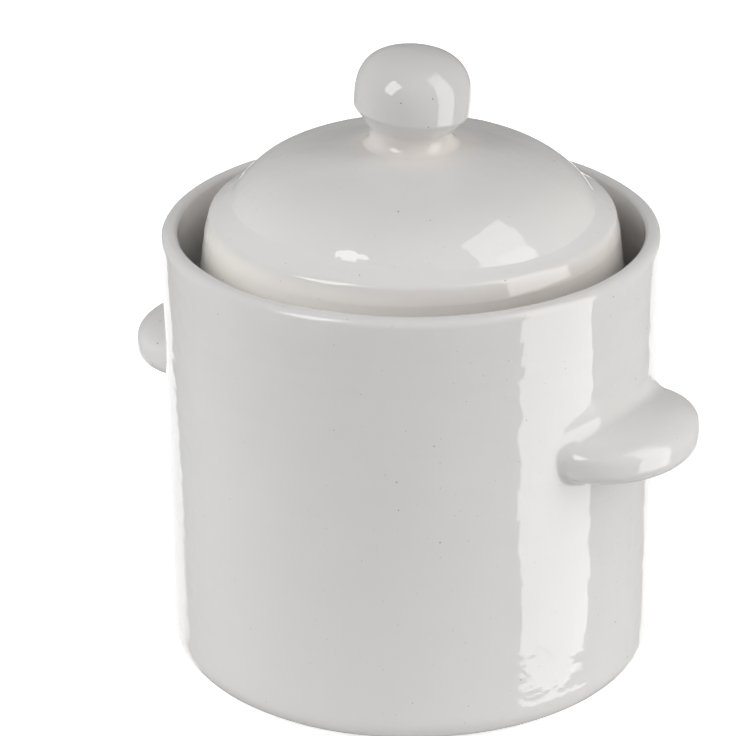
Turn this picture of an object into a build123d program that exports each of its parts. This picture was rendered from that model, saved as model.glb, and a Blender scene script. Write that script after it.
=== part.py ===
"""A straight-sided stoneware fermenting crock whose lid stands in a gutter of water.

The crock is a thrown pot with a slight taper. A separate gutter ring is luted inside its mouth: a shelf
that seats on a ledge in the wall, and an upright neck. The lid's skirt stands on the shelf, between the
neck and the wall, so that water in the gutter seals it and gas escapes through two vents in the skirt.
Two lug handles are luted to the wall and a knob to the lid. Two half-moon press stones lie on the floor.

Millimetres, +Z up. The origin is the centre of the foot, on the surface that the crock stands on.
The handles lie on +X and -X. The side that faces -Y is the front.
"""

import os
from math import cos, hypot, radians, sin

from build123d import *

# Crock: the thrown pot
crock_rim_radius = 90.0
crock_taper = 0.7
crock_height = 165.0
wall_thickness = 6.0
floor_thickness = 8.0
base_corner_radius = 9.0
inside_corner_radius = 5.0
rim_outer_round = 3.2
rim_inner_round = 1.6
foot_ring_inset = 19.3
foot_recess_depth = 1.5
foot_recess_round = 0.8

# Gutter ring: the shelf and the neck that hold the water
gutter_depth = 30.0
shelf_thickness = 7.0
ledge_width = 2.0
gutter_width = 6.5
neck_clearance = 4.0
neck_thickness = 5.5
neck_below_rim = 6.0
neck_top_round = 2.4
neck_root_round = 2.5
shelf_lip_round = 3.0

# Lug handles: a half-ellipse in plan, with a rolled edge
lug_half_width = 36.3
lug_reach = 24.0
lug_root_depth = 2.8
lug_thickness = 20.4
lug_below_rim = 62.0
lug_weld_radius = 3.0
# 2 would make the lug's section an ellipse. More makes its top and underside flatter.
lug_section_exponent = 3.0
lug_section_steps = 8

# Lid: the dome and its skirt
lid_thickness = 5.0
lid_shoulder_rise = 1.8
lid_crown_rise = 31.0
skirt_taper = 3.0
skirt_edge_round = 1.6
vent_width = 12.0
vent_height = 6.0
vent_round = 2.5
# From the knob's seat to the shoulder: shares of the way out, and of the crown's rise above the
# shoulder. The last stretch hollows slightly before it rolls over into the skirt.
dome_outline_shares = [
    (0.0, 1.0),
    (0.429, 0.833),
    (0.701, 0.575),
    (0.864, 0.277),
    (0.964, 0.136),
    (1.0, 0.0),
]
crown_slope = -0.1
# The hollow follows the dome down to this share of its outline, then runs straight to the skirt.
dome_inside_share = 0.9
dome_inside_steps = 6
dome_inside_round = 3.0

# Knob
knob_radius = 21.0
knob_equator_rise = 16.2
knob_crown_height = 19.5
knob_section_exponent = 2.5
knob_section_steps = 8
knob_edge_angle = 6.0
knob_edge_round = 1.8
knob_waist_radius = 14.7
knob_waist_top = 5.4
knob_waist_round = 3.0
knob_foot_flare = 3.2
knob_foot_edge = 0.4
knob_foot_margin = 0.7
knob_seat_margin = 0.8

# Press stones: two half-moons with a finger hole between them
stone_thickness = 14.0
stone_wall_play = 1.0
stone_gap = 3.0
stone_corner_radius = 6.0
stone_edge_round = 2.5
stone_notch_radius = 12.0
stone_notch_round = 2.8

# Sizes and places that follow from the sizes above
crock_base_radius = crock_rim_radius - crock_taper
foot_recess_radius = crock_base_radius - foot_ring_inset
gutter_wall_radius = crock_rim_radius - wall_thickness
inside_radius = gutter_wall_radius - ledge_width
shelf_top = crock_height - gutter_depth
ledge_height = shelf_top - shelf_thickness
lug_mid_height = crock_height - lug_below_rim
skirt_bottom_radius = gutter_wall_radius - gutter_width
lid_shoulder_radius = skirt_bottom_radius - skirt_taper
neck_radius = skirt_bottom_radius - lid_thickness - neck_clearance
neck_bore_radius = neck_radius - neck_thickness
neck_top = crock_height - neck_below_rim
knob_seat_height = crock_height + lid_crown_rise
knob_foot_radius = knob_waist_radius + knob_foot_flare + knob_foot_margin
knob_seat_radius = knob_foot_radius + knob_seat_margin
stone_radius = inside_radius - inside_corner_radius - stone_wall_play


def round_corner(section, corner, radius):
    """The flat section with its vertex nearest to the corner rounded."""
    vertex = section.vertices().sort_by_distance((*corner, 0))[0]
    return fillet(vertex, radius)


def turned(section):
    """A solid of revolution from a section drawn with its radius along X and its height along Y."""
    return revolve(Plane.XZ * section, Axis.Z)


def turned_corners(corners):
    """A solid of revolution from (radius, height, rounding) corners."""
    section = make_face(Polyline(*[(r, z) for r, z, _ in corners], close=True))
    for r, z, rounding in corners:
        if rounding:
            section = round_corner(section, (r, z), rounding)
    return turned(section)


def crock_body():
    """The pot: floor, wall, the ledge that carries the gutter ring, and the rounded rim."""
    return turned_corners(
        [
            (0, foot_recess_depth, 0),
            (foot_recess_radius, foot_recess_depth, foot_recess_round),
            (foot_recess_radius + foot_recess_depth, 0, foot_recess_round),
            (crock_base_radius, 0, base_corner_radius),
            (crock_rim_radius, crock_height, rim_outer_round),
            (gutter_wall_radius, crock_height, rim_inner_round),
            (gutter_wall_radius, ledge_height, 0),
            (inside_radius, ledge_height, 0),
            (inside_radius, floor_thickness, inside_corner_radius),
            (0, floor_thickness, 0),
        ]
    )


def gutter_ring():
    """The shelf that closes the bottom of the gutter, and the neck that stands up from it."""
    return turned_corners(
        [
            (gutter_wall_radius, ledge_height, 0),
            (gutter_wall_radius, shelf_top, 0),
            (neck_radius, shelf_top, neck_root_round),
            (neck_radius, neck_top, neck_top_round),
            (neck_bore_radius, neck_top, neck_top_round),
            (neck_bore_radius, ledge_height, shelf_lip_round),
        ]
    )


def rolled_edge(centre, reach, rise, exponent, first_angle, last_angle, steps):
    """Points along a superellipse. The angles are counted up from the horizontal, in degrees."""
    points = []
    for step in range(steps + 1):
        angle = radians(first_angle + (last_angle - first_angle) * step / steps)
        across = max(cos(angle), 0) ** (2 / exponent)
        up = abs(sin(angle)) ** (2 / exponent)
        side = 1 if angle >= 0 else -1
        points.append((centre[0] + reach * across, centre[1] + side * rise * up))
    return points


def crock_envelope():
    """The crock's outside without its rounded corners: what a lug is welded to and trimmed against.

    It is turned half way round, so that its closing edge lies away from the lug on +X.
    """
    profile = Polyline(
        (0, 0),
        (crock_base_radius, 0),
        (crock_rim_radius, crock_height),
        (0, crock_height),
        close=True,
    )
    return Rot(0, 0, 180) * turned(make_face(profile))


def lug_blank():
    """A whole lug, ellipse in plan, about its own centre. Its section is a superellipse."""
    half_length = lug_reach + lug_root_depth
    outline = rolled_edge(
        (0, 0), half_length, lug_thickness / 2, lug_section_exponent, 90, -90, lug_section_steps
    )
    rim = Spline(*outline, tangents=[(1, 0), (-1, 0)])
    disc = turned(make_face(rim + Line(outline[-1], outline[0])))
    return scale(Rot(0, 0, 180) * disc, by=(1, lug_half_width / half_length, 1))


def is_weld(edge):
    """Whether an edge of a joined wall and lug runs where the lug leaves the wall."""
    middle = edge @ 0.5
    at_lug = abs(middle.Z - lug_mid_height) < lug_thickness
    return at_lug and middle.X > 0 and hypot(middle.X, middle.Y) < crock_rim_radius


def lug_handle():
    """The lug on +X. It flares where it is welded to the wall, and its back is the wall's own curve."""
    wall = crock_envelope()
    joined = wall + Pos(crock_rim_radius - lug_root_depth, 0, lug_mid_height) * lug_blank()
    welded = joined.fillet(lug_weld_radius, [edge for edge in joined.edges() if is_weld(edge)])
    beside_wall = Pos(crock_rim_radius, 0, lug_mid_height) * Box(
        2 * lug_half_width, 4 * lug_half_width, 2 * lug_thickness
    )
    return welded & (beside_wall - wall)


def dome_outline():
    """The dome's outside, from the edge of the knob's seat to the shoulder."""
    span = lid_shoulder_radius - knob_seat_radius
    drop = lid_crown_rise - lid_shoulder_rise
    shoulder_height = crock_height + lid_shoulder_rise
    points = [(knob_seat_radius + r * span, shoulder_height + z * drop) for r, z in dome_outline_shares]
    into_skirt = (skirt_bottom_radius - lid_shoulder_radius, shelf_top - shoulder_height)
    return Spline(*points, tangents=[(1, crown_slope), into_skirt])


def inward(outline, share):
    """The point at the lid's thickness below an outline, at a share of the outline's length."""
    point, along = outline @ share, outline % share
    return (point.X + along.Y * lid_thickness, point.Y - along.X * lid_thickness)


def lid_dome():
    """The lid without its knob: a shell of even thickness, open below, with two vents in its skirt."""
    dome = dome_outline()
    stops = [dome_inside_share * step / dome_inside_steps for step in range(dome_inside_steps + 1)]
    hollow = Spline(*[inward(dome, share) for share in reversed(stops)])
    skirt_outside = (skirt_bottom_radius, shelf_top)
    skirt_inside = (skirt_bottom_radius - lid_thickness, shelf_top)
    shoulder_inside = inward(dome, 1)
    skirt = Polyline(dome @ 1, skirt_outside, skirt_inside, shoulder_inside, hollow @ 0)
    crown = Polyline(hollow @ 1, (0, (hollow @ 1).Y), (0, knob_seat_height), dome @ 0)
    section = make_face(dome + skirt + hollow + crown)
    section = round_corner(section, skirt_outside, skirt_edge_round)
    section = round_corner(section, skirt_inside, skirt_edge_round)
    section = round_corner(section, shoulder_inside, dome_inside_round)
    return turned(section) - vents()


def vents():
    """A bar along Y that cuts both vents through the skirt's lower edge."""
    opening = Rectangle(vent_width, 2 * vent_height)
    opening = fillet(opening.vertices(), vent_round)
    bar = extrude(Plane.XZ * opening, crock_rim_radius, both=True)
    return Pos(0, 0, shelf_top) * bar


def lid_knob():
    """The knob: a flat-topped ball, cut under to a short waist, with a foot that flares onto the dome."""
    middle = (0, knob_seat_height + knob_equator_rise)
    outline = rolled_edge(
        middle,
        knob_radius,
        knob_crown_height,
        knob_section_exponent,
        -knob_edge_angle,
        90,
        knob_section_steps,
    )
    edge, crown = outline[0], outline[-1]
    foot_top = knob_seat_height + knob_foot_edge
    flare = (knob_waist_radius, foot_top)
    waist = (knob_waist_radius, knob_seat_height + knob_waist_top)
    stem = Polyline(
        crown,
        (0, knob_seat_height),
        (knob_foot_radius, knob_seat_height),
        (knob_foot_radius, foot_top),
        flare,
        waist,
        edge,
    )
    section = make_face(Spline(*outline, tangents=[(0, 1), (-1, 0)]) + stem)
    section = round_corner(section, flare, knob_foot_flare)
    section = round_corner(section, waist, knob_waist_round)
    section = round_corner(section, edge, knob_edge_round)
    return turned(section)


def press_stone():
    """The rear half-moon, with half of the finger hole in its straight side."""
    half_gap = stone_gap / 2
    behind = Pos(0, half_gap) * Rectangle(
        2 * stone_radius, stone_radius, align=(Align.CENTER, Align.MIN)
    )
    plan = (Circle(stone_radius) & behind) - Circle(stone_notch_radius)
    for side in (-1, 1):
        plan = round_corner(plan, (side * stone_radius, half_gap), stone_corner_radius)
        plan = round_corner(plan, (side * stone_notch_radius, half_gap), stone_notch_round)
    stone = extrude(Pos(0, 0, floor_thickness) * plan, stone_thickness)
    rims = stone.edges().group_by(Axis.Z)[-1] + stone.edges().group_by(Axis.Z)[0]
    return fillet(rims, stone_edge_round)


def all_parts():
    """Every part, under the name of its file."""
    right_lug = lug_handle()
    rear_stone = press_stone()
    return {
        "crock_body": crock_body(),
        "gutter_ring": gutter_ring(),
        "handle_left": mirror(right_lug, Plane.YZ),
        "handle_right": right_lug,
        "lid_dome": lid_dome(),
        "lid_knob": lid_knob(),
        "stone_front": mirror(rear_stone, Plane.XZ),
        "stone_rear": rear_stone,
    }


os.makedirs("parts", exist_ok=True)
for name, shape in all_parts().items():
    export_step(shape, f"parts/{name}.step")
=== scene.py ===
"""Looks of a stoneware crock with a water-sealed lid: hand-thrown surfaces under a clear glossy glaze.

Every clay piece is built again as a mesh, with the unevenness of a thrown pot, glaze that has run into
the joins of the lugs, the knob and the shelf, and a mottled material with pinholes and a bare foot.
Shapes are worked out in millimetres and become metres in make_mesh. Materials, lamps and the camera
are in metres. Heights are above the surface that the crock stands on. The corners of a profile are
given as (radius, height, rounding).
"""

import math

import bmesh
import bpy
import numpy as np
from mathutils import Matrix, Vector


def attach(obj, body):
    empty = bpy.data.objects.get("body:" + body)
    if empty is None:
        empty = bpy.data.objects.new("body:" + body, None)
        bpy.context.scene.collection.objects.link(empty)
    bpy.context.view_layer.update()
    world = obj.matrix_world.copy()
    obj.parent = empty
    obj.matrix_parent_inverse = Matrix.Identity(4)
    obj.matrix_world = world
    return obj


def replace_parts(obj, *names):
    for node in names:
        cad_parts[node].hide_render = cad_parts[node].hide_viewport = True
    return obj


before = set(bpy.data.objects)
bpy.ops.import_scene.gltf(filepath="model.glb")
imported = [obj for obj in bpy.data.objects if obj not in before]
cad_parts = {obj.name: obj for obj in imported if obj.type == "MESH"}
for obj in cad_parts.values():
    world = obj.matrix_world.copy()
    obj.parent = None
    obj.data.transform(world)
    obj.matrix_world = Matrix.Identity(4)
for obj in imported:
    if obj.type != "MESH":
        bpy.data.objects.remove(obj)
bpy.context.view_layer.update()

MM = 0.001
TURN = 2 * math.pi
# In millimetres, a radius below this is on the axis
AXIS = 1e-6
# How far the photograph's view is turned from the front, in degrees
VIEW_AZIMUTH = 31.8
# A height in metres near the crock's middle, round which the studio is set
MIDDLE = 0.1

# The pot
RIM_RADIUS = 90.0
BASE_RADIUS = 89.3
HEIGHT = 165.0
GUTTER_WALL = 84.0
INSIDE_RADIUS = 82.0
FLOOR_TOP = 8.0
RECESS_RADIUS = 70.0
RECESS_DEPTH = 1.5
RECESS_ROUND = 0.8
BASE_ROUND = 9.0
INSIDE_ROUND = 5.0
RIM_OUTER_ROUND = 3.2
RIM_INNER_ROUND = 1.8
# The wall is held true at the ground and reaches its full unevenness at this height
FOOT_HELD_TRUE = 12

# The gutter ring: its shelf and neck, and the shelf's lap into the wall with a fillet of glaze up it
SHELF_TOP = 135.0
SHELF_BOTTOM = 128.0
NECK_RADIUS = 68.5
NECK_BORE = 63.0
NECK_TOP = 159.0
NECK_ROUND = 2.5
NECK_FOOT_ROUND = 3
LAP = 0.3
FILLET_TOP = 2.4
FILLET_EDGE = (0.25, 2.2)
FILLET_ROUND = 1.8
SHELF_UNDERSIDE = 0.4

# The lugs, a little narrower than their solids: half sizes outward, across and upward
LUG_HEIGHT = 103.0
LUG_CENTRE = 87.2
LUG_HALF = (26.8, 34.4, 10.2)
# 2 would make the section an ellipse. More makes its top and underside flatter.
LUG_EXPONENT = 2.95
# Width of the blend between lug and wall on the underside, how much wider it is on top, and how
# softly the one turns into the other
LUG_BLEND = 2.4
LUG_BLEND_GAIN = 3.2
LUG_BLEND_TURN = 2.5
# The mesh of a lug: lines out from its middle, points along each, and how far it goes onto the wall
LUG_LINES = 132
LUG_STEPS = 56
LUG_BORDER = 13.0

# The lid's outside: from the knob over the dome to its crease, the shoulder and the skirt
DOME = ((19.4, 196), (28, 194.55), (36, 192.95), (43, 191.2), (50, 188.7), (56, 185.25))
CREASE = (65.35, 175.5)
CREASE_ROUND = 1.3
SHOULDER = (73.15, 170.4)
SHOULDER_ROUND = 3.0
SKIRT_OUTSIDE = ((74.9, 163.7, 12), (76.6, 150.2, 20))
SKIRT_BOTTOM = 77.5
SKIRT_THICKNESS = 5
SKIRT_EDGE_ROUND = 1.7
SKIRT_INSIDE = (69.3, 165.6, 3)
LID_THICKNESS = 5.0
CROWN_RISE = 0.9
CROWN_SLOPE = -0.1
CREASE_STEEPNESS = 56.0
# The lid is held true up to this height, and reaches its full unevenness this far above
LID_HELD_TRUE = 150
LID_UNEVEN_OVER = 14
# It takes its unevenness from this far off in the waves, so that it doesn't repeat the pot's, and
# it is this much fuller than the pot
LID_SWELLS_AWAY = (40.0, 10.0, 70.0)
LID_FULLER = 0.12

# The skirt's vents, at the front and the back. The skirt is what lies outside VENT_INSIDE, and its
# rise at a vent fades out over VENT_REACH.
VENT_ANGLES = (TURN / 4, 3 * TURN / 4)
VENT_HEIGHT = 6.0
VENT_HALF_WIDTH = 6.4
VENT_CORNER = 1.6
VENT_REACH = 14
VENT_INSIDE = 68

# The crease sags near the right lug, this many radians from the view's right towards the front. Only
# the lid's outside sags, which lies above a line from this radius and height that falls by this slope.
SAG_TURN = 0.85
SAG_DEPTH = 2.5
SAG_WIDTH = 5.5
SAG_SHARPNESS = 4
SAG_LINE = (66, 171.5)
SAG_LINE_SLOPE = 0.9
# The lid stands this far off the middle, to the view's right
LID_ASIDE = 0.35

# The knob: a ball with a flattened crown above a waist that flares into the dome. The waist's corners
# and the ball's widest ring are given as heights above the seat.
KNOB_SEAT = 196.0
KNOB_WAIST = ((23.5, -1.1, 0), (15.2, 0.4, 4.6), (14.4, 5.5, 3.9))
KNOB_RADIUS = 21
KNOB_MIDDLE = 16.2
KNOB_RISE = 19.1
# 1 would make the ball's section an ellipse. Less makes it squarer.
KNOB_POWER = 0.8
# The ball's outline starts this many degrees above its widest ring
KNOB_UNDERCUT = -6
KNOB_NECK_ROUND = 1.7
# The ball leans by this many radians, about a point at this height above the seat
KNOB_LEAN = 0.088
KNOB_PIVOT = 10
# The lean and the dents each start at a height above the seat and grow over a distance
KNOB_LEAN_FROM, KNOB_LEAN_OVER = 1, 10
KNOB_DENTS_FROM, KNOB_DENTS_OVER = 4, 6

# The press stones
STONE_RADIUS = 76.0
STONE_TOP = 22.0
STONE_HALF_GAP = 1.5
STONE_NOTCH = 12.0
STONE_CORNER = 5.5
STONE_NOTCH_CORNER = 2.6
STONE_EDGE = 2.5

# Layers of unevenness, each with its height, wavelength, seed, and rise. A rise below 1 draws the waves
# out upwards. Each surface is also sunk a little, so that its swells keep to the solid's size, and what
# is thrown stands out no further than its limit.
THROWN_SWELLS = ((0.17, 46, 3, 0.45), (0.05, 17, 5, 0.7))
THROWN_SINK = 0.16
THROWN_LIMIT = 0.12
LUG_SWELLS = ((0.22, 38, 21, 1), (0.10, 15, 22, 1))
LUG_SINK = 0.25
KNOB_SWELLS = ((0.24, 34, 31, 1), (0.06, 13, 33, 1))
KNOB_SINK = 0.08
# The faint rings that the potter's fingers leave, and the layer by which they wander up and down
RING_HEIGHT = 0.018
RING_SPACING = 7.3
RING_WANDER = (1.5, 60, 8, 1)


# Shapes

def waves(points, wavelength, seed, count=14):
    """Smooth seeded unevenness at points, about -1 to 1, with features about this long."""
    rng = np.random.default_rng(seed)
    direction = rng.normal(size=(count, 3))
    direction /= np.linalg.norm(direction, axis=1)[:, None]
    number = TURN / (wavelength * rng.uniform(0.7, 1.8, count))
    phase = rng.uniform(0, TURN, count)
    return np.sin(points @ (direction * number[:, None]).T + phase).sum(1) / math.sqrt(2 * count)


def swells(points, *layers):
    """The sum of layers of waves, each given as (height, wavelength, seed, rise)."""
    return sum(
        height * waves(points * np.array([1, 1, rise]), wavelength, seed)
        for height, wavelength, seed, rise in layers
    )


def thrown(points):
    """How far a thrown surface stands out from its ideal one, mostly a little less than nothing."""
    wander = swells(points, RING_WANDER)
    rings = RING_HEIGHT * np.sin(points[:, 2] / RING_SPACING * TURN + wander)
    return np.minimum(swells(points, *THROWN_SWELLS) + rings - THROWN_SINK, THROWN_LIMIT)


def ease(share):
    """A share from 0 to 1, with a soft start and end."""
    return share * share * (3 - 2 * share)


def ring(count):
    """Even angles once round."""
    return np.linspace(0, TURN, count, endpoint=False)


def rounded(corners, closed=True, arc_step=11.0, spacing=2.2):
    """Points along a profile with rounded corners, closely spaced.

    An arc has a point every arc_step degrees, and no two points are further apart than spacing.
    """
    count = len(corners)
    out = []
    for i, (r, z, rounding) in enumerate(corners):
        here = np.array([r, z], float)
        if rounding == 0:
            out.append(here)
            continue
        before = np.array(corners[i - 1][:2], float) - here
        after = np.array(corners[(i + 1) % count][:2], float) - here
        a, b = before / np.linalg.norm(before), after / np.linalg.norm(after)
        half = 0.5 * math.acos(max(-1.0, min(1.0, float(a @ b))))
        reach = rounding / math.tan(half)
        centre = here + (a + b) / np.linalg.norm(a + b) * rounding / math.sin(half)
        start, end = here + a * reach - centre, here + b * reach - centre
        sweep = math.pi - 2 * half
        side = math.copysign(1, start[0] * end[1] - start[1] * end[0])
        steps = max(3, int(math.degrees(sweep) / arc_step))
        for k in range(steps + 1):
            t = side * sweep * k / steps
            turn = np.array([[math.cos(t), -math.sin(t)], [math.sin(t), math.cos(t)]])
            out.append(centre + turn @ start)
    if closed:
        out.append(out[0])
    dense = [out[0]]
    for p, q in zip(out[:-1], out[1:]):
        pieces = max(1, int(math.ceil(np.linalg.norm(q - p) / spacing)))
        dense += [p + (q - p) * k / pieces for k in range(1, pieces + 1)]
    return np.array(dense[:-1] if closed else dense)


def spline(points, first, last, per_span=12):
    """A smooth curve through points, with the given directions at its ends."""
    p = np.array(points, float)
    h = np.linalg.norm(np.diff(p, axis=0), axis=1)
    n = len(p)
    matrix, right = np.zeros((n, n)), np.zeros((n, 2))
    matrix[0, 0] = matrix[-1, -1] = 1
    right[0] = np.array(first, float) / np.linalg.norm(first)
    right[-1] = np.array(last, float) / np.linalg.norm(last)
    for i in range(1, n - 1):
        matrix[i, i - 1], matrix[i, i], matrix[i, i + 1] = h[i], 2 * (h[i - 1] + h[i]), h[i - 1]
        right[i] = 3 * (h[i] * (p[i] - p[i - 1]) / h[i - 1] + h[i - 1] * (p[i + 1] - p[i]) / h[i])
    slope = np.linalg.solve(matrix, right)
    out = []
    for i in range(n - 1):
        for k in range(per_span):
            t = k / per_span
            out.append(
                (2 * t**3 - 3 * t**2 + 1) * p[i]
                + (t**3 - 2 * t**2 + t) * h[i] * slope[i]
                + (3 * t**2 - 2 * t**3) * p[i + 1]
                + (t**3 - t**2) * h[i] * slope[i + 1]
            )
    return np.array(out + [p[-1]])


def profile_normals(profile, closed):
    """The direction to the left of travel at each point of a profile."""
    if closed:
        along = np.roll(profile, -1, axis=0) - np.roll(profile, 1, axis=0)
    else:
        along = np.gradient(profile, axis=0)
    along /= np.linalg.norm(along, axis=1)[:, None] + 1e-12
    return np.stack([-along[:, 1], along[:, 0]], 1)


def thinness(profile, closed, tight=0.35):
    """How sharply each point of a profile is rounded over, from 0 on a flat to 1 on a tight edge."""
    if closed:
        before, after = np.roll(profile, 1, axis=0), np.roll(profile, -1, axis=0)
    else:
        before = np.vstack([profile[:1], profile[:-1]])
        after = np.vstack([profile[1:], profile[-1:]])
    a, b = profile - before, after - profile
    length = np.linalg.norm(a, axis=1) + np.linalg.norm(b, axis=1) + 1e-9
    turn = np.arctan2(b[:, 0] * a[:, 1] - b[:, 1] * a[:, 0], (a * b).sum(1))
    return np.clip(2 * turn / length / tight, 0, 1)


def ring_faces(rows, columns, closed=False):
    """Quads between rows of points that go once round. Closed, the last row is joined to the first."""
    faces = []
    for i in range(rows if closed else rows - 1):
        j = (i + 1) % rows
        for k in range(columns):
            m = (k + 1) % columns
            faces.append((i * columns + k, i * columns + m, j * columns + m, j * columns + k))
    return faces


def make_mesh(name, verts, faces, material, thin=None, weld=1e-6):
    """A smooth-shaded object from points in millimetres. thin is 1 where its glaze is thinnest.

    Points that lie closer together than weld, in metres, become one.
    """
    mesh = bpy.data.meshes.new(name)
    mesh.from_pydata((np.asarray(verts) * MM).tolist(), [], faces)
    thin = np.zeros(len(verts)) if thin is None else thin
    attribute = mesh.attributes.new("thin_glaze", "FLOAT", "POINT")
    attribute.data.foreach_set("value", np.asarray(thin, np.float32))
    bm = bmesh.new()
    bm.from_mesh(mesh)
    bmesh.ops.remove_doubles(bm, verts=bm.verts, dist=weld)
    bmesh.ops.recalc_face_normals(bm, faces=bm.faces)
    bm.to_mesh(mesh)
    bm.free()
    mesh.shade_smooth()
    mesh.materials.append(material)
    obj = bpy.data.objects.new(name, mesh)
    bpy.context.scene.collection.objects.link(obj)
    return obj


def lathe(name, profile, material, closed=True, outward=-1, angles=ring(288), uneven=None, shift=None):
    """A turned piece. outward is 1 where its outside is to the left of the profile's travel, or else -1.

    uneven(points) says how far each point moves outward, and shift(points) then moves them all.
    """
    rows, columns = len(profile), len(angles)
    r, z = np.repeat(profile[:, 0], columns), np.repeat(profile[:, 1], columns)
    c, s = np.tile(np.cos(angles), rows), np.tile(np.sin(angles), rows)
    points = np.stack([r * c, r * s, z], 1)
    if uneven is not None:
        normal = np.repeat(profile_normals(profile, closed) * outward, columns, axis=0)
        nr, nz = normal[:, 0], normal[:, 1]
        points = points + np.stack([nr * c, nr * s, nz], 1) * uneven(points)[:, None]
        points[r < AXIS, :2] = 0
    if shift is not None:
        points = shift(points)
    faces = [f for f in ring_faces(rows, columns, closed) if max(r[f[0]], r[f[2]]) >= AXIS]
    return make_mesh(name, points, faces, material, np.repeat(thinness(profile, closed), columns))


# Materials

def srgb(red, green, blue):
    """A colour as it should look on the screen, for a node's socket."""
    linear = [c / 12.92 if c <= 0.04045 else ((c + 0.055) / 1.055) ** 2.4 for c in (red, green, blue)]
    return (*linear, 1.0)


# Tones of the glaze and of the bare clay, and tones painted for light and shade
COOL_WHITE = srgb(0.868, 0.867, 0.866)
WARM_WHITE = srgb(0.86, 0.85, 0.842)
PALE_PATCH = srgb(0.89, 0.89, 0.888)
DARK_BAND = srgb(0.83, 0.825, 0.82)
THIN_EDGE = srgb(0.80, 0.755, 0.715)
# From here to the waist's tone, painted light and shade, not the glaze's own colours: painted light low
# on the pot, on the lid's shoulder and on the skirt's front and left, painted shade on the skirt towards
# the view's right and on the crown, and a warm painted reflection round the knob's waist
FOOT_PAINTED_LIGHT = srgb(0.918, 0.914, 0.91)
SHOULDER_PAINTED_LIGHT = srgb(0.92, 0.917, 0.913)
SKIRT_PAINTED_LIGHT = srgb(0.955, 0.942, 0.921)
SKIRT_PAINTED_SHADE = srgb(0.875, 0.856, 0.838)
CROWN_PAINTED_SHADE = srgb(0.825, 0.822, 0.818)
WAIST_PAINTED_REFLECTION = srgb(0.88, 0.852, 0.83)
PIT_GREY = srgb(0.55, 0.53, 0.51)
PINHOLE_GREY = srgb(0.50, 0.47, 0.45)
GRAIN_BROWN = srgb(0.55, 0.50, 0.44)
CLAY = srgb(0.80, 0.74, 0.66)
DARK_CLAY = srgb(0.69, 0.62, 0.54)

# How far round from the camera's view the skirt is most beige, in painted shade, in degrees
SKIRT_SHADE_TURN = 62

# Relief of the surface in metres, and its roughness
RIPPLE = 0.00022
PEEL = 0.000006
PINHOLE_DEPTH = 0.00006
GRIT = 0.00006
GLAZE_ROUGHNESS = (0.006, 0.02)
CLAY_ROUGHNESS = 0.82
GLAZE_IOR = 1.52

# The pot's foot, in metres: the height below which the glaze is painted paler, as painted light thrown
# up by the floor, and the edge of the bare clay, which starts and ends at these heights and wanders
# down by up to this much
PAINTED_LIGHT_BELOW = 0.15
BARE_EDGE = (0.0013, 0.0019)
BARE_WANDER = 0.0014


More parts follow.
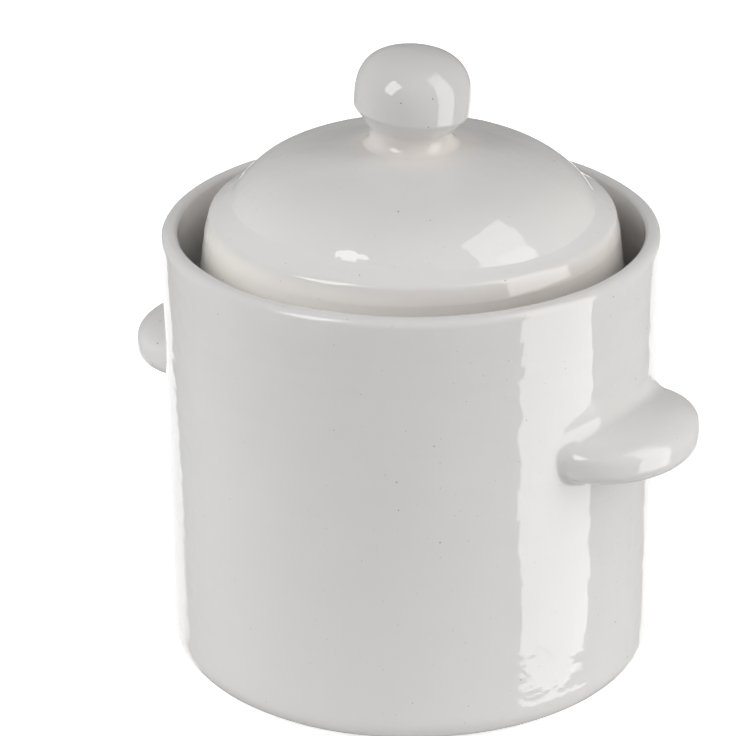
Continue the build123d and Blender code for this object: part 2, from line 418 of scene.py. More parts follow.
class Nodes:
    """A new material, and short ways to add nodes to it. Most return the socket with the result."""

    def __init__(self, name):
        self.material = bpy.data.materials.new(name)
        self.material.use_nodes = True
        self.tree = self.material.node_tree
        self.tree.nodes.clear()
        self.out = self.add("ShaderNodeOutputMaterial")
        self.shader = self.add("ShaderNodeBsdfPrincipled")
        self.link(self.shader.outputs[0], self.out.inputs["Surface"])
        self.place = self.add("ShaderNodeTexCoord").outputs["Object"]

    def add(self, kind, **values):
        """A node of this kind, as itself."""
        node = self.tree.nodes.new(kind)
        for key, value in values.items():
            setattr(node, key, value)
        return node

    def link(self, a, b):
        self.tree.links.new(a, b)

    def axes(self):
        """The point's x, y and z."""
        split = self.add("ShaderNodeSeparateXYZ")
        self.link(self.place, split.inputs[0])
        return [split.outputs[axis] for axis in "XYZ"]

    def scaled(self, x, y, z):
        """The point, with its axes scaled."""
        node = self.add("ShaderNodeMapping")
        self.link(self.place, node.inputs["Vector"])
        node.inputs["Scale"].default_value = (x, y, z)
        return node.outputs[0]

    def noise(self, scale, detail, rough, place=None, distortion=0.0):
        node = self.add("ShaderNodeTexNoise")
        self.link(self.place if place is None else place, node.inputs["Vector"])
        node.inputs["Scale"].default_value = scale
        node.inputs["Detail"].default_value = detail
        node.inputs["Roughness"].default_value = rough
        node.inputs["Distortion"].default_value = distortion
        return node.outputs["Fac"]

    def ramp(self, source, low, high, start=0.0, end=1.0, smooth=True):
        """start where the source is low, end where it is high, and a slope between."""
        node = self.add("ShaderNodeMapRange")
        node.interpolation_type = "SMOOTHSTEP" if smooth else "LINEAR"
        self.link(source, node.inputs["Value"])
        for key, value in (("From Min", low), ("From Max", high), ("To Min", start), ("To Max", end)):
            node.inputs[key].default_value = value
        return node.outputs["Result"]

    def below(self, source, low, high, smooth=True):
        """1 where the source is low and 0 where it is high."""
        return self.ramp(source, low, high, 1.0, 0.0, smooth)

    def math(self, kind, a, b):
        node = self.add("ShaderNodeMath", operation=kind)
        for index, value in enumerate((a, b)):
            if isinstance(value, (int, float)):
                node.inputs[index].default_value = value
            else:
                self.link(value, node.inputs[index])
        return node.outputs[0]

    def times(self, a, b):
        return self.math("MULTIPLY", a, b)

    def plus(self, a, b):
        return self.math("ADD", a, b)

    def minus(self, a, b):
        return self.math("SUBTRACT", a, b)

    def mix(self, factor, a, b):
        """Colour a where the factor is 0 and b where it is 1."""
        node = self.add("ShaderNodeMix", data_type="RGBA")
        self.link(factor, node.inputs["Factor"])
        for key, value in (("A", a), ("B", b)):
            socket = [i for i in node.inputs if i.name == key and i.type == "RGBA"][0]
            if isinstance(value, tuple):
                socket.default_value = value
            else:
                self.link(value, socket)
        return [o for o in node.outputs if o.type == "RGBA"][0]

    def tint(self, colour, tone, where, strength):
        """The colour, drawn towards a tone by this strength where the socket is 1."""
        return self.mix(self.times(where, strength), colour, tone)

    def specks(self, scale, size, share, seed_offset):
        """1 at scattered dots. size is a dot's share of a cell, and share that of cells with a dot."""
        shifted = self.add("ShaderNodeVectorMath", operation="ADD")
        self.link(self.place, shifted.inputs[0])
        shifted.inputs[1].default_value = (seed_offset, seed_offset * 0.7, -seed_offset * 0.4)
        cell = self.add("ShaderNodeTexVoronoi", feature="F1")
        self.link(shifted.outputs[0], cell.inputs["Vector"])
        cell.inputs["Scale"].default_value = scale
        split = self.add("ShaderNodeSeparateColor")
        self.link(cell.outputs["Color"], split.inputs[0])
        chosen = self.ramp(split.outputs[0], 1 - share, 1 - share + 0.01)
        radius = self.ramp(split.outputs[1], 0.0, 1.0, size * 0.5, size, smooth=False)
        near = self.math("DIVIDE", cell.outputs["Distance"], radius)
        return self.times(self.below(near, 0.55, 1.0), chosen)


def mottled(n, warmth):
    """Warm clouds, paler patches and faint level bands, with the clay showing through on thin edges."""
    cloud = n.ramp(n.noise(13, detail=3, rough=0.5, distortion=0.4), 0.36, 0.66)
    patch = n.ramp(n.noise(42, detail=4, rough=0.6), 0.42, 0.7)
    bands = n.ramp(n.noise(1, detail=2, rough=0.5, place=n.scaled(9, 9, 260)), 0.35, 0.7)
    colour = n.tint(COOL_WHITE, WARM_WHITE, where=cloud, strength=warmth)
    colour = n.tint(colour, PALE_PATCH, where=patch, strength=0.22)
    colour = n.tint(colour, DARK_BAND, where=bands, strength=0.10)
    edge = n.add("ShaderNodeAttribute", attribute_name="thin_glaze").outputs["Fac"]
    broken = n.ramp(n.noise(60, detail=3, rough=0.6), 0.35, 0.65, start=0.25)
    return n.tint(colour, THIN_EDGE, where=n.times(edge, broken), strength=0.45)


def lid_tones(n, colour):
    """Painted light and shade on the lid: paler on the shoulder and on the skirt's front and left, beige
    and darker on the skirt towards the view's right, darker towards the crown and the knob, and a warm
    painted reflection round the knob's waist.
    """
    shoulder_top, skirt_top, crown_shade_heights = (0.174, 0.190), (0.166, 0.171), (0.176, 0.225)
    skirt_inner, skirt_outer, skirt_turn = 0.0688, 0.0712, (0.005, 0.065)
    seat = MM * KNOB_SEAT
    waist_from, waist_to = (seat - 0.0015, seat + 0.001), (seat + 0.006, seat + 0.0105)
    x, y, z = n.axes()
    # Painted light: paler on the lower dome, the shoulder and the skirt.
    colour = n.tint(colour, SHOULDER_PAINTED_LIGHT, where=n.below(z, *shoulder_top), strength=0.5)
    # Painted light and shade on the skirt: pale on the front and left, beige and darker towards the
    # view's right.
    outside = n.ramp(n.plus(n.times(x, x), n.times(y, y)), skirt_inner**2, skirt_outer**2)
    skirt = n.times(outside, n.below(z, *skirt_top))
    a = math.radians(VIEW_AZIMUTH + SKIRT_SHADE_TURN)
    side = n.minus(n.times(x, math.sin(a)), n.times(y, math.cos(a)))
    colour = n.mix(skirt, colour, n.mix(n.ramp(side, *skirt_turn), SKIRT_PAINTED_LIGHT, SKIRT_PAINTED_SHADE))
    # Painted shade: darker towards the top of the dome and the knob.
    colour = n.mix(n.ramp(z, *crown_shade_heights), colour, CROWN_PAINTED_SHADE)
    # A warm painted reflection of the dome on the knob's flare, waist and underside.
    waist = n.times(n.ramp(z, *waist_from), n.below(z, *waist_to))
    return n.tint(colour, WAIST_PAINTED_REFLECTION, where=waist, strength=0.6)


def glaze(name, warmth, foot=False, lid=False):
    """Clear glossy glaze over pale stoneware, mottled, with pinholes and a faintly rippled surface."""
    n = Nodes(name)
    colour = mottled(n, warmth)
    if lid:
        colour = lid_tones(n, colour)
    if foot:
        # Painted light: the glaze is painted paler towards the ground, for the light that the floor
        # throws up.
        level = n.axes()[2]
        colour = n.mix(n.below(level, 0.0, PAINTED_LIGHT_BELOW, smooth=False), colour, FOOT_PAINTED_LIGHT)
    pits = n.specks(300, size=0.085, share=0.55, seed_offset=2.3)
    pinholes = n.specks(150, size=0.070, share=0.50, seed_offset=0.31)
    grains = n.specks(70, size=0.035, share=0.10, seed_offset=1.7)
    colour = n.tint(colour, PIT_GREY, where=pits, strength=0.5)
    colour = n.tint(colour, PINHOLE_GREY, where=pinholes, strength=0.65)
    colour = n.tint(colour, GRAIN_BROWN, where=grains, strength=0.6)
    ripple = n.times(n.noise(95, detail=2, rough=0.5), RIPPLE)
    peel = n.times(n.noise(520, detail=2, rough=0.5), PEEL)
    relief = n.minus(n.plus(ripple, peel), n.times(pinholes, PINHOLE_DEPTH))
    rough = n.ramp(n.noise(30, detail=3, rough=0.6), 0.3, 0.7, *GLAZE_ROUGHNESS)
    if foot:
        # The foot ring is wiped clean of glaze, so bare buff clay shows from just above the ground.
        wandering = n.plus(level, n.times(n.noise(45, detail=3, rough=0.6), BARE_WANDER))
        bare = n.below(wandering, *BARE_EDGE)
        clay = n.mix(n.ramp(n.noise(900, detail=4, rough=0.7), 0.35, 0.7), CLAY, DARK_CLAY)
        colour = n.mix(bare, colour, clay)
        grit = n.times(n.noise(1600, detail=3, rough=0.7), GRIT)
        relief = n.plus(relief, n.times(grit, bare))
        rough = n.math("MAXIMUM", rough, n.times(bare, CLAY_ROUGHNESS))
    bump = n.add("ShaderNodeBump")
    bump.inputs["Strength"].default_value = 1.0
    bump.inputs["Distance"].default_value = 1.0
    n.link(relief, bump.inputs["Height"])
    n.link(bump.outputs[0], n.shader.inputs["Normal"])
    n.link(colour, n.shader.inputs["Base Color"])
    n.link(rough, n.shader.inputs["Roughness"])
    n.shader.inputs["IOR"].default_value = GLAZE_IOR
    return n.material


crock_glaze = glaze("crock_glaze", warmth=0.6, foot=True)
lid_glaze = glaze("lid_glaze", warmth=0.45, lid=True)
stone_glaze = glaze("stone_glaze", warmth=0.9)


# The pot

def crock_profile():
    """Round the recess under the floor, the foot ring, the wall, the rim, the ledge and the inside."""
    return rounded(
        [
            (0, RECESS_DEPTH, 0),
            (RECESS_RADIUS, RECESS_DEPTH, RECESS_ROUND),
            (RECESS_RADIUS + RECESS_DEPTH, 0, RECESS_ROUND),
            (BASE_RADIUS, 0, BASE_ROUND),
            (RIM_RADIUS, HEIGHT, RIM_OUTER_ROUND),
            (GUTTER_WALL, HEIGHT, RIM_INNER_ROUND),
            (GUTTER_WALL, SHELF_BOTTOM, 0),
            (INSIDE_RADIUS, SHELF_BOTTOM, 0),
            (INSIDE_RADIUS, FLOOR_TOP, INSIDE_ROUND),
            (0, FLOOR_TOP, 0),
        ]
    )


def crock_unevenness(points):
    """The thrown surface, held true at the foot that it stands on."""
    return thrown(points) * np.clip(points[:, 2] / FOOT_HELD_TRUE, 0, 1)


crock = lathe("crock_shell", crock_profile(), crock_glaze, uneven=crock_unevenness)
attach(crock, "crock")
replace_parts(crock, "crock_body")


# The gutter ring

def gutter_profile():
    """Round the shelf, whose glaze laps into the wall and runs up it in a fillet, and the neck."""
    return rounded(
        [
            (GUTTER_WALL - SHELF_UNDERSIDE, SHELF_BOTTOM, 0),
            (GUTTER_WALL + LAP, SHELF_BOTTOM, 0),
            (GUTTER_WALL + LAP, SHELF_TOP + FILLET_TOP, 0),
            (GUTTER_WALL - FILLET_EDGE[0], SHELF_TOP + FILLET_EDGE[1], 0),
            (GUTTER_WALL - LAP, SHELF_TOP, FILLET_ROUND),
            (NECK_RADIUS, SHELF_TOP, NECK_ROUND),
            (NECK_RADIUS, NECK_TOP, NECK_ROUND),
            (NECK_BORE, NECK_TOP, NECK_ROUND),
            (NECK_BORE, SHELF_BOTTOM, NECK_FOOT_ROUND),
        ],
        spacing=1.8,
    )


gutter = lathe("gutter_neck", gutter_profile(), crock_glaze)
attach(gutter, "crock")
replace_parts(gutter, "gutter_ring")


# The lugs

def ideal_wall(height):
    """The wall's outside radius at a height, before it is made uneven."""
    return BASE_RADIUS + (RIM_RADIUS - BASE_RADIUS) * height / HEIGHT


def wall_at(points):
    """The thrown wall's outside radius beside each point."""
    ideal = ideal_wall(points[:, 2])
    on_wall = points.copy()
    on_wall[:, :2] *= (ideal / np.hypot(points[:, 0], points[:, 1]))[:, None]
    return ideal + crock_unevenness(on_wall)


def lug_field(points, side):
    """About the distance to the blended surface of the wall and its lug, less than 0 inside."""
    wall = np.hypot(points[:, 0], points[:, 1]) - wall_at(points)
    local = (points - np.array([side * LUG_CENTRE, 0, LUG_HEIGHT])) * np.array([side, 1, 1])
    out, across, up = local.T
    a, w, h = LUG_HALF
    e = LUG_EXPONENT
    plan = np.sqrt((out / a) ** 2 + (across / w) ** 2) + 1e-6
    level = np.abs(up) / h + 1e-6
    size = (plan**e + level**e) ** (1 / e)
    flat_slope = (plan / size) ** (e - 1) * np.sqrt((out / a**2) ** 2 + (across / w**2) ** 2) / plan
    up_slope = (level / size) ** (e - 1) / h
    uneven = swells(points, *LUG_SWELLS) - LUG_SINK
    lug = (size - 1) / np.sqrt(flat_slope**2 + up_slope**2) - uneven
    blend = LUG_BLEND + LUG_BLEND_GAIN / (1 + np.exp(-up / LUG_BLEND_TURN))
    overlap = np.maximum(blend - np.abs(wall - lug), 0) / blend
    return np.minimum(wall, lug) - overlap**2 * blend / 4


def lug_line(angle, side):
    """Points from the middle of a lug to the border of its mesh on the wall, at an angle round it.

    Each is where a ray from under the wall leaves the clay, found by halving.
    """
    depth, inset, squareness = 7, 11, 0.75
    rays, furthest, halvings = 150, 75.0, 22
    half_width, half_height = LUG_HALF[1:]
    c, s = math.cos(angle), math.sin(angle)
    edge_y = (half_width + LUG_BORDER) * math.copysign(abs(c) ** squareness, c)
    edge_z = (half_height + LUG_BORDER) * math.copysign(abs(s) ** squareness, s)
    middle_y = edge_y * (half_width - inset) / (half_width + LUG_BORDER)
    away = np.array([edge_y - middle_y, edge_z])
    reach = np.linalg.norm(away)
    away /= reach
    radius = ideal_wall(LUG_HEIGHT + edge_z)
    start_x = math.sqrt(radius**2 - middle_y**2) - depth
    tilt = np.linspace(0, math.atan2(reach, math.sqrt(radius**2 - edge_y**2) - start_x), rays)
    direction = np.stack([np.cos(tilt) * side, np.sin(tilt) * away[0], np.sin(tilt) * away[1]], 1)
    origin = np.array([start_x * side, middle_y, LUG_HEIGHT])
    low, high = np.zeros(rays), np.full(rays, furthest)
    for _ in range(halvings):
        mid = (low + high) / 2
        inside = lug_field(origin + direction * mid[:, None], side) < 0
        low, high = np.where(inside, mid, low), np.where(inside, high, mid)
    line = origin + direction * low[:, None]
    run = np.concatenate([[0], np.cumsum(np.linalg.norm(np.diff(line, axis=0), axis=1))])
    at = np.linspace(0, run[-1], LUG_STEPS)
    return np.stack([np.interp(at, run, line[:, i]) for i in range(3)], 1)


def lug(name, side):
    """A lug and the flare of its join, with a border that lies on the wall."""
    points = np.stack([lug_line(angle, side) for angle in ring(LUG_LINES)], axis=1)
    # The border lies a hair proud of the wall and ends just under it, so that the join can't be seen.
    proud, tucked_under = 0.03, (0.02, 0.005, -0.03)
    lift = np.full(LUG_STEPS, proud)
    lift[-len(tucked_under):] = tucked_under
    outward = points * np.array([1, 1, 0])
    outward /= np.linalg.norm(outward, axis=2)[:, :, None]
    points = points + outward * lift[:, None, None]
    faces = ring_faces(LUG_STEPS, LUG_LINES)
    obj = make_mesh(name, points.reshape(-1, 3), faces, crock_glaze, weld=2e-5)
    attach(obj, "crock")
    return obj


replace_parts(lug("lug_right", 1), "handle_right")
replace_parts(lug("lug_left", -1), "handle_left")


# The lid

def lid_profile():
    """From the crown over the dome, the crease and the shoulder, down the skirt, and back inside."""
    steep = math.radians(CREASE_STEEPNESS)
    outline = spline((*DOME, CREASE), (1, CROWN_SLOPE), (math.cos(steep), -math.sin(steep)))
    crown_radius, crown_height = outline[0]
    t = np.linspace(0, 1, 10)[:-1]
    cap = np.stack([crown_radius * t, crown_height + CROWN_RISE * (1 - t * t)], 1)
    # The dome's last points, outside and inside, give way to the rounding at the crease.
    rounded_off, rounded_off_inside = 4, 6
    inside = outline - LID_THICKNESS * profile_normals(outline, False)
    hollow = inside[:-rounded_off_inside][::-1]
    lower = rounded(
        [
            (*outline[-rounded_off], 0),
            (*CREASE, CREASE_ROUND),
            (*SHOULDER, SHOULDER_ROUND),
            *SKIRT_OUTSIDE,
            (SKIRT_BOTTOM, SHELF_TOP, SKIRT_EDGE_ROUND),
            (SKIRT_BOTTOM - SKIRT_THICKNESS, SHELF_TOP, SKIRT_EDGE_ROUND),
            SKIRT_INSIDE,
            (*hollow[0], 0),
        ],
        closed=False,
        spacing=1.6,
    )
    inside_radius, inside_height = hollow[-1]
    t = np.linspace(1, 0, 8)[1:]
    inside_crown = np.stack([inside_radius * t, np.full(len(t), inside_height)], 1)
    return np.vstack([cap, outline[:-rounded_off], lower, hollow[1:], inside_crown])


def lid_unevenness(points):
    """The thrown surface, held true near the skirt's foot and beside the neck."""
    above = np.clip((points[:, 2] - LID_HELD_TRUE) / LID_UNEVEN_OVER, 0, 1)
    return (thrown(points + np.array(LID_SWELLS_AWAY)) + LID_FULLER) * above


def vented(points):
    """Raises the skirt's edge into two arched vents."""
    arch = ease(np.clip((VENT_HALF_WIDTH - np.abs(points[:, 0])) / VENT_CORNER, 0, 1))
    skirt = np.hypot(points[:, 0], points[:, 1]) > VENT_INSIDE
    low = np.clip((SHELF_TOP + VENT_REACH - points[:, 2]) / VENT_REACH, 0, 1)
    points[:, 2] += np.where(skirt, VENT_HEIGHT * arch * low, 0)
    return points


def sagging(points):
    """Lowers and widens the crease on one side, where the clay sagged before firing."""
    a = math.radians(VIEW_AZIMUTH) - SAG_TURN
    radius = np.hypot(points[:, 0], points[:, 1])
    outside = points[:, 2] > SAG_LINE[1] - SAG_LINE_SLOPE * (radius - SAG_LINE[0])
    near = np.exp(-(((radius - CREASE[0]) / SAG_WIDTH) ** 2)) * outside
    towards = points[:, 0] * math.cos(a) + points[:, 1] * math.sin(a)
    facing = np.clip(towards / np.maximum(radius, 1), 0, 1) ** SAG_SHARPNESS
    sag = SAG_DEPTH * near * facing
    points[:, :2] *= (1 + sag / np.maximum(radius, 1))[:, None]
    points[:, 2] -= sag
    return points


def lid_shift(points):
    """Gives the lid its vents and its sag, and sets it a hair off the middle."""
    a = math.radians(VIEW_AZIMUTH)
    return sagging(vented(points)) + LID_ASIDE * np.array([math.cos(a), math.sin(a), 0])


def lid_angles():
    """Angles round the lid in radians, closer together beside the vents."""
    beside, clear = 0.115, 0.118
    close = np.concatenate([vent + np.linspace(-beside, beside, 56) for vent in VENT_ANGLES])
    plain = [a for a in ring(264) if min(abs(a - vent) for vent in VENT_ANGLES) > clear]
    return np.sort(np.concatenate([plain, close]))


lid = lathe(
    "lid_shell", lid_profile(), lid_glaze, closed=False, outward=1,
    angles=lid_angles(), uneven=lid_unevenness, shift=lid_shift,
)
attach(lid, "lid")
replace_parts(lid, "lid_dome")


# The knob

def knob_profile():
    """From under the dome's surface, up the flare and the waist, and round the ball to its crown."""
    angles = np.radians(np.linspace(KNOB_UNDERCUT, 90, 44))
    across = np.cos(angles) ** KNOB_POWER
    up = np.sign(angles) * np.abs(np.sin(angles)) ** KNOB_POWER
    ball = np.stack([KNOB_RADIUS * across, KNOB_SEAT + KNOB_MIDDLE + KNOB_RISE * up], 1)
    ball[-1, 0] = 0
    waist = [(r, KNOB_SEAT + rise, rounding) for r, rise, rounding in KNOB_WAIST]
    # The rounding between waist and ball takes the place of the ball's first points.
    rounded_off = 4
    corners = [*waist, (*ball[0], KNOB_NECK_ROUND), (*ball[rounded_off - 1], 0)]
    lower = rounded(corners, closed=False, spacing=0.8, arc_step=8)
    return np.vstack([lower, ball[rounded_off:]])


def knob_unevenness(points):
    """Gentle dents in the ball, fading out over the waist."""
    above = np.clip((points[:, 2] - KNOB_SEAT - KNOB_DENTS_FROM) / KNOB_DENTS_OVER, 0, 1)
    return (swells(points, *KNOB_SWELLS) - KNOB_SINK) * above


def leaning(points):
    """Leans the ball a few degrees over on its waist, as the hand-set knob does."""
    a = math.radians(VIEW_AZIMUTH)
    side = points @ np.array([math.cos(a), math.sin(a), 0])
    rise = points[:, 2] - KNOB_SEAT
    angle = KNOB_LEAN * ease(np.clip((rise - KNOB_LEAN_FROM) / KNOB_LEAN_OVER, 0, 1))
    shift = angle * (rise - KNOB_PIVOT)
    return points + np.stack([shift * math.cos(a), shift * math.sin(a), -angle * side], 1)


knob = lathe(
    "knob_ball", knob_profile(), lid_glaze, closed=False,
    angles=ring(144), uneven=knob_unevenness, shift=leaning,
)
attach(knob, "lid")
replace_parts(knob, "lid_knob")


# The press stones

def arc_corners(radius, margin, count):
    """Corners along an arc about the middle, which ends a margin in radians short of the gap."""
    start = math.asin(STONE_HALF_GAP / radius) + margin
    angles = np.linspace(start, math.pi - start, count)
    return [(radius * math.cos(a), radius * math.sin(a), 0) for a in angles]


def stone_plan():
    """The rear half-moon's outline, once round."""
    across = math.sqrt(STONE_RADIUS**2 - STONE_HALF_GAP**2)
    mouth = math.sqrt(STONE_NOTCH**2 - STONE_HALF_GAP**2)
    return rounded(
        [
            (across, STONE_HALF_GAP, STONE_CORNER),
            *arc_corners(STONE_RADIUS, margin=0.09, count=70),
            (-across, STONE_HALF_GAP, STONE_CORNER),
            (-mouth, STONE_HALF_GAP, STONE_NOTCH_CORNER),
            *arc_corners(STONE_NOTCH, margin=0.28, count=18)[::-1],
            (mouth, STONE_HALF_GAP, STONE_NOTCH_CORNER),
        ],
        spacing=2.5,
    )


def stone(name, side):
    """A press stone: its outline drawn in at the top and bottom, where the edges are rounded."""
    plan = stone_plan()
    inward = profile_normals(plan, True)
    within = np.array([0, STONE_RADIUS / 2])
    if inward[0] @ (within - plan[0]) < 0:
        inward = -inward
    count = len(plan)
    quarter = np.linspace(0, math.pi / 2, 7)
    drawn_in, up = STONE_EDGE * (1 - np.sin(quarter)), STONE_EDGE * (1 - np.cos(quarter))
    levels = [*zip(drawn_in, FLOOR_TOP + up), *zip(drawn_in[::-1], STONE_TOP - up[::-1])]
    verts = []
    for inset, z in levels:
        outline = plan + inward * inset
        verts.append(np.stack([outline[:, 0], outline[:, 1] * side, np.full(count, z)], 1))
    faces = ring_faces(len(levels), count)
    faces.append(tuple(range(count))[::-1])
    faces.append(tuple((len(levels) - 1) * count + k for k in range(count)))
    return make_mesh(name, np.vstack(verts), faces, stone_glaze)


for name, side, node, body in (
    ("half_moon_rear", 1, "stone_rear", "rear_stone"),
    ("half_moon_front", -1, "stone_front", "front_stone"),
):
    piece = stone(name, side)
    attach(piece, body)
    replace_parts(piece, node)


# Stage

def glow_node(tree, kind, strength):
    """An Emission or Background node of plain white at this strength."""
    node = tree.nodes.new(kind)
    node.inputs["Color"].default_value = (1, 1, 1, 1)
    node.inputs["Strength"].default_value = strength
    return node


def seen_white(tree):
    """1 on the rays that should meet white: those from the camera, off gloss or through glass."""
    path = tree.nodes.new("ShaderNodeLightPath")
    seen = path.outputs["Is Camera Ray"]
    for kind in ("Is Glossy Ray", "Is Transmission Ray"):
        either = tree.nodes.new("ShaderNodeMath")
        either.operation = "MAXIMUM"
        tree.links.new(seen, either.inputs[0])
        tree.links.new(path.outputs[kind], either.inputs[1])
        seen = either.outputs[0]
    return seen


def switched(tree, plain, white, out):
    """Links the white shader to the rays that should meet white, and the plain one to all others."""
    choose = tree.nodes.new("ShaderNodeMixShader")
    tree.links.new(seen_white(tree), choose.inputs["Fac"])
    tree.links.new(plain.outputs[0], choose.inputs[1])
    tree.links.new(white.outputs[0], choose.inputs[2])
    tree.links.new(choose.outputs[0], out.inputs["Surface"])


def stage_object(name, verts, faces, materials):
    """A mesh in metres that is part of the studio."""
    mesh = bpy.data.meshes.new(name)
    mesh.from_pydata(verts, [], faces)
    for material in materials:
        mesh.materials.append(material)
    obj = bpy.data.objects.new(name, mesh)
    bpy.context.scene.collection.objects.link(obj)
    return obj


def empty_tree(owner):
    """The node tree of a material or world, cleared."""
    owner.use_nodes = True
    owner.node_tree.nodes.clear()
    return owner.node_tree


def studio_floor():
    """A plain pale floor that keeps the crock's shadow and is otherwise white to the camera."""
    half, drop = 6.0, -0.0003
    grey, glow_strength = 0.8, 0.78
    material = bpy.data.materials.new("floor_white")
    tree = empty_tree(material)
    out = tree.nodes.new("ShaderNodeOutputMaterial")
    diffuse = tree.nodes.new("ShaderNodeBsdfDiffuse")
    diffuse.inputs["Color"].default_value = (grey, grey, grey, 1)
    glow = glow_node(tree, "ShaderNodeEmission", glow_strength)
    both = tree.nodes.new("ShaderNodeAddShader")
    tree.links.new(diffuse.outputs[0], both.inputs[0])
    tree.links.new(glow.outputs[0], both.inputs[1])
    switched(tree, diffuse, both, out)
    corners = [(-half, -half, drop), (half, -half, drop), (half, half, drop), (-half, half, drop)]
    floor = stage_object("floor", corners, [(0, 1, 2, 3)], [material])
    floor.visible_glossy = False


def around(azimuth, elevation, distance, height=MIDDLE):
    """The place in this direction, and this far, from a point at a height on the axis.

    Angles are in degrees. The azimuth is measured from the camera's, and is positive to its right.
    """
    a, e = math.radians(VIEW_AZIMUTH + azimuth), math.radians(elevation)
    towards = Vector((math.sin(a) * math.cos(e), -math.cos(a) * math.cos(e), math.sin(e)))
    return towards * distance + Vector((0, 0, height))


def wall_of(azimuth, elevation, opening_right):
    """Which wall a part of the studio belongs to: 0 left, 1 front, 2 right, 3 ceiling."""
    ceiling_from, front_from, right_from = 20, -35, 50
    if elevation >= ceiling_from:
        return 3
    if azimuth < front_from or azimuth > opening_right:
        return 0
    return 1 if azimuth < right_from else 2


def grey_room():
    """Grey studio walls, met only by reflections, with a wide opening behind onto the white background.

    The opening's left edge slants. Its other edges are level or upright. Angles are as for around().
    """
    radius, radiances = 3.0, (0.3, 0.2, 0.4, 0.4)
    right, left, low, high = 145.5, -139.5, -38.0, -12.0
    slant, slant_level = 2.6, -25.5
    rows = (-89.0, low, -33.0, -29.0, slant_level, -22.0, -18.0, high, 20.0, 50.0, 89.0)
    columns = 72
    step = 360.0 / columns
    verts = []
    for elevation in rows:
        edge_shift = slant * (min(max(elevation, low), high) - slant_level)
        verts.append(tuple(around(left - edge_shift, elevation, radius)))
        for k in range(1, columns):
            verts.append(tuple(around(left + k * step, elevation, radius)))
    faces, walls = [], []
    for face in ring_faces(len(rows), columns):
        row, column = divmod(face[0], columns)
        azimuth, elevation = left + (column + 0.5) * step, rows[row]
        if azimuth > right and low <= elevation < high:
            continue
        faces.append(face)
        walls.append(wall_of(azimuth, elevation, right))
    materials = []
    for wall, radiance in enumerate(radiances):
        material = bpy.data.materials.new(f"studio_grey_{wall}")
        tree = empty_tree(material)
        out = tree.nodes.new("ShaderNodeOutputMaterial")
        glow = glow_node(tree, "ShaderNodeEmission", radiance)
        tree.links.new(glow.outputs[0], out.inputs["Surface"])
        materials.append(material)
    room = stage_object("studio_walls", verts, faces, materials)
    room.data.polygons.foreach_set("material_index", walls)
    for ray in ("camera", "diffuse", "transmission", "volume_scatter", "shadow"):
        setattr(room, "visible_" + ray, False)


# Light

WHITE = (1, 1, 1)
FAINTLY_WARM = (1, 0.985, 0.975)
SLIGHTLY_WARM = (1, 0.98, 0.965)
WARM = (1, 0.94, 0.90)

# Lamps: name, azimuth, elevation and distance as for around(), the height that they aim at, width,
# height, radiance, colour and roll. The glaze reflects the soft boxes and not the fills.
SOFT_BOXES = (
    ("right_softbox", 69, 0, 1.0, 0.30, 0.69, 1.64, 3.1, FAINTLY_WARM, 0),
    ("overhead", 71, 52, 1.0, 0.18, 0.54, 0.31, 2.4, SLIGHTLY_WARM, 0),
    ("key_window", -47, 34.5, 1.1, MIDDLE, 0.40, 0.65, 5.1, WHITE, -24),
    ("rear_glow", 181, -25, 3.4, MIDDLE, 4.7, 1.8, 0.28, WHITE, 0),
)
FILLS = (
    ("top_fill", 75, 65, 1.2, MIDDLE, 0.6, 0.6, 0.9, SLIGHTLY_WARM, 0),
    ("left_fill", -105, 12, 1.4, MIDDLE, 1.2, 1.6, 1.05, WHITE, 0),
    ("left_high_fill", -80, 45, 1.4, MIDDLE, 0.9, 0.9, 1.3, WHITE, 0),
    ("front_fill", -10, 3, 1.4, MIDDLE, 1.2, 0.6, 0.95, FAINTLY_WARM, 0),
    ("rear_left_fill", -138, 8, 1.4, MIDDLE, 1.0, 1.2, 1.3, WHITE, 0),
    ("rear_right_fill", 140, 8, 1.4, MIDDLE, 1.0, 1.2, 1.65, WARM, 0),
)


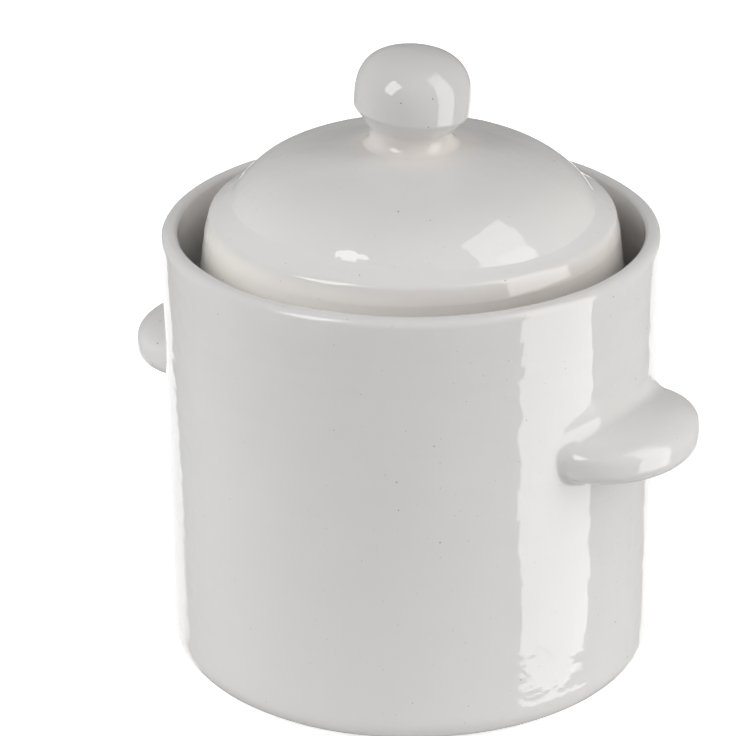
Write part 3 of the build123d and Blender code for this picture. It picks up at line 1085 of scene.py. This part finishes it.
def area_lamp(name, azimuth, elevation, distance, aim, width, height, radiance, colour, roll):
    """A rectangular lamp of even brightness that faces the crock. The camera doesn't see it."""
    light = bpy.data.lights.new(name, "AREA")
    light.shape = "RECTANGLE"
    light.size, light.size_y = width, height
    light.energy = radiance * math.pi * width * height
    light.color = colour
    lamp = bpy.data.objects.new(name, light)
    bpy.context.scene.collection.objects.link(lamp)
    place = around(azimuth, elevation, distance, aim)
    lamp.location = place
    facing = (Vector((0, 0, aim)) - place).to_track_quat("-Z", "Y").to_matrix()
    lamp.rotation_euler = (facing @ Matrix.Rotation(math.radians(roll), 3, "Z")).to_euler()
    lamp.visible_camera = False
    return lamp


def studio_light():
    """The lamps, and a world that is white where it is seen and nearly dark as a light."""
    fill_strength = 0.04
    for values in SOFT_BOXES:
        area_lamp(*values)
    for values in FILLS:
        area_lamp(*values).visible_glossy = False
    world = bpy.data.worlds.new("studio")
    bpy.context.scene.world = world
    tree = empty_tree(world)
    out = tree.nodes.new("ShaderNodeOutputWorld")
    fill = glow_node(tree, "ShaderNodeBackground", fill_strength)
    white = glow_node(tree, "ShaderNodeBackground", 1.0)
    switched(tree, fill, white, out)


# Camera

def photo_camera():
    """The photograph's view: a long lens, 1.35 m from a point on the axis, looking 24 degrees down."""
    elevation, distance, point_height = math.radians(24.89), 1.350, 0.0826
    # The camera looks this many radians above that point.
    look_above = 0.01176
    frame_width, right_shift, up_shift = 736, -43.34, 20.0
    camera = bpy.data.cameras.new("camera")
    camera.lens, camera.sensor_width = 178.9, 36.0
    camera.clip_start, camera.clip_end = 0.05, 30
    camera.shift_x = right_shift / frame_width
    camera.shift_y = up_shift / frame_width
    obj = bpy.data.objects.new("camera", camera)
    bpy.context.scene.collection.objects.link(obj)
    a = math.radians(VIEW_AZIMUTH)
    obj.location = (
        distance * math.cos(elevation) * math.sin(a),
        -distance * math.cos(elevation) * math.cos(a),
        point_height + distance * math.sin(elevation),
    )
    obj.rotation_euler = (math.pi / 2 - elevation + look_above, 0, a)
    bpy.context.scene.camera = obj


studio_floor()
grey_room()
studio_light()
photo_camera()
bpy.context.scene.view_settings.view_transform = "Standard"
